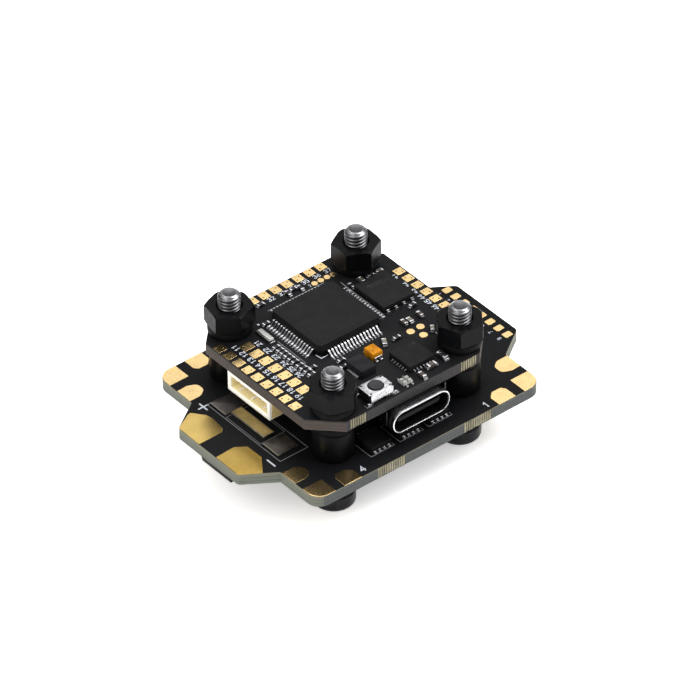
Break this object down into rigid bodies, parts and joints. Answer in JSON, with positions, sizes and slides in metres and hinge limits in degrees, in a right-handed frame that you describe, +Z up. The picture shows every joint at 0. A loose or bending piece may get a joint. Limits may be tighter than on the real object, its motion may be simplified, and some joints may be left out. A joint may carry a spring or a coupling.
{
  "type": "flight controller stack",
  "caption": "Two stacked octagonal circuit boards on corner screws with rubber grommets: a flight controller with USB socket and boot button over a motor controller with solder pads.",
  "frame": {"origin": "centre of the lower board's outline, at the underside of the four screw heads; the 20 x 20 mm screw square is centred at (-0.41, 0.33) mm", "axes": "+Z up through the stack, +X to the nose (signal pads), -X to the battery pads, USB socket faces -Y"},
  "size_m": [0.0444, 0.0316, 0.02],
  "materials": {
    "esc_laminate": "dark solder mask over glass-epoxy laminate, pale cut edges",
    "fc_laminate": "black solder mask over glass-epoxy laminate",
    "chip_epoxy": "moulded epoxy, fine matt grain",
    "fet_epoxy": "moulded epoxy, darker",
    "rubber": "soft silicone rubber, satin",
    "nylon": "moulded black nylon",
    "screw_steel": "rolled steel thread, black oxide on the head",
    "plated_lid": "bright nickel-plated sheet",
    "dark_shell": "black-plated drawn shell with a bright mouth rim",
    "insulator": "black glass-filled resin",
    "cream_resin": "natural white heat-proof resin",
    "tantalum_resin": "yellow moulded resin",
    "ferrite": "dark grey bound ferrite powder",
    "led_resin": "white resin with a milky lens",
    "button_resin": "grey moulded resin",
    "shunt_alloy": "rolled resistance alloy, dull gold",
    "shunt_plate": "bright plated copper seen against the dark board",
    "gold_pad": "immersion gold on copper",
    "solder": "reflowed solder",
    "silkscreen": "white printed ink",
    "ceramic_chip": "sintered ceramic chip body"
  },
  "bodies": {
    "stack": {"esc_board": "esc_laminate", "fc_board": "fc_laminate", "screw_front_left": "screw_steel", "esc_grommet_front_left": "rubber", "spacer_front_left": "nylon", "fc_grommet_front_left": "rubber", "nut_front_left": "nylon", "screw_front_right": "screw_steel", "esc_grommet_front_right": "rubber", "spacer_front_right": "nylon", "fc_grommet_front_right": "rubber", "nut_front_right": "nylon", "screw_rear_left": "screw_steel", "esc_grommet_rear_left": "rubber", "spacer_rear_left": "nylon", "fc_grommet_rear_left": "rubber", "nut_rear_left": "nylon", "screw_rear_right": "screw_steel", "esc_grommet_rear_right": "rubber", "spacer_rear_right": "nylon", "fc_grommet_rear_right": "rubber", "nut_rear_right": "nylon", "processor": "chip_epoxy", "flash_memory": "chip_epoxy", "motion_sensor": "chip_epoxy", "power_inductor": "ferrite", "tantalum_capacitor": "tantalum_resin", "clock_crystal": "plated_lid", "status_led": "led_resin", "boot_button_base": "insulator", "boot_button_cover": "plated_lid", "usb_shell": "dark_shell", "usb_tongue": "insulator", "cable_socket": "cream_resin", "overlay_chip": "chip_epoxy", "voltage_regulator": "chip_epoxy", "pressure_sensor": "plated_lid", "mosfet_01": "fet_epoxy", "mosfet_02": "fet_epoxy", "mosfet_03": "fet_epoxy", "mosfet_04": "fet_epoxy", "mosfet_05": "fet_epoxy", "mosfet_06": "fet_epoxy", "mosfet_07": "fet_epoxy", "mosfet_08": "fet_epoxy", "mosfet_09": "fet_epoxy", "mosfet_10": "fet_epoxy", "mosfet_11": "fet_epoxy", "mosfet_12": "fet_epoxy", "motor_processor_1": "chip_epoxy", "motor_processor_2": "chip_epoxy", "motor_processor_3": "chip_epoxy", "motor_processor_4": "chip_epoxy", "shunt_bar": "shunt_alloy", "shunt_terminal_plus": "shunt_plate", "shunt_terminal_minus": "shunt_plate", "surge_diode": "fet_epoxy"},
    "boot_button": {"boot_button_plunger": "button_resin"}
  },
  "joints": [
    {"name": "boot_button_press", "type": "slide", "parent": "stack", "child": "boot_button", "axis": [0, 0, -1], "range_m": [0, 0.0002], "stiffness_N_per_m": 7800}
  ]
}
